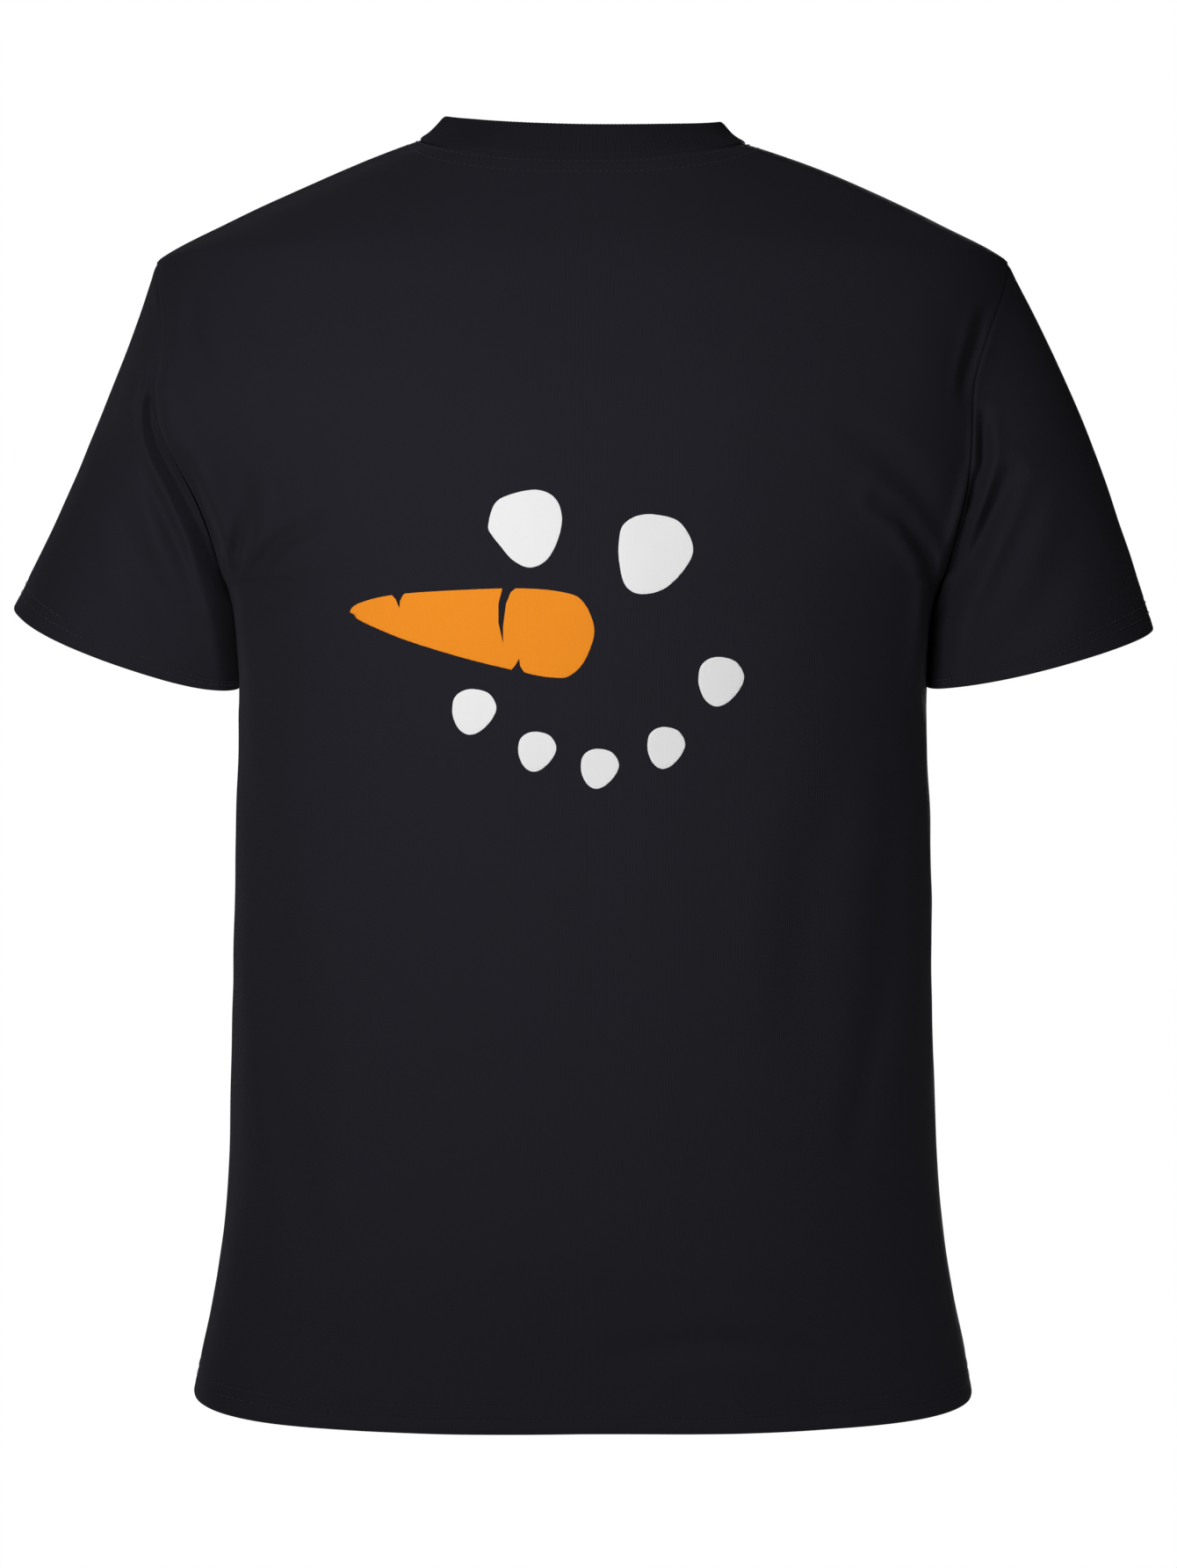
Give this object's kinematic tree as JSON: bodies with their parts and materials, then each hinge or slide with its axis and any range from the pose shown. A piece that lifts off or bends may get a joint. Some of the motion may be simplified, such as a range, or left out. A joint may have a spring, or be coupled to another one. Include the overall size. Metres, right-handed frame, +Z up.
{
  "type": "t-shirt",
  "caption": "Black short-sleeved crew-neck jersey T-shirt in worn shape, with a snowman's face of eyes, carrot nose and pebble mouth printed on its back.",
  "frame": {"origin": "middle of the neck opening, level with the neck ends of the shoulder seams, where the wearer's neck and shoulders hold the shirt", "axes": "+Z up the wearer, -Y out of the printed back, +X to the wearer's right"},
  "size_m": [0.638, 0.2489, 0.7186],
  "materials": {
    "jersey": "fine cotton jersey, washed black",
    "rib": "1x1 rib knit folded double, black",
    "tape": "black twill tape",
    "thread": "black overlock thread",
    "label": "off-white satin ribbon",
    "white_ink": "screen-printed ink film, matte white",
    "orange_ink": "screen-printed ink film, matte orange"
  },
  "bodies": {
    "root": {"back_panel": "jersey", "front_panel": "jersey", "left_sleeve": "jersey", "right_sleeve": "jersey", "collar_rib": "rib", "back_neck_tape": "tape", "left_shoulder_tape": "tape", "right_shoulder_tape": "tape", "neck_seam_overlock": "thread", "left_armhole_overlock": "thread", "right_armhole_overlock": "thread", "left_side_overlock": "thread", "right_side_overlock": "thread", "left_underarm_overlock": "thread", "right_underarm_overlock": "thread", "size_label": "label", "care_label": "label", "left_eye_print": "white_ink", "right_eye_print": "white_ink", "carrot_nose_print": "orange_ink", "mouth_pebble_print_1": "white_ink", "mouth_pebble_print_2": "white_ink", "mouth_pebble_print_3": "white_ink", "mouth_pebble_print_4": "white_ink", "mouth_pebble_print_5": "white_ink"}
  },
  "joints": []
}
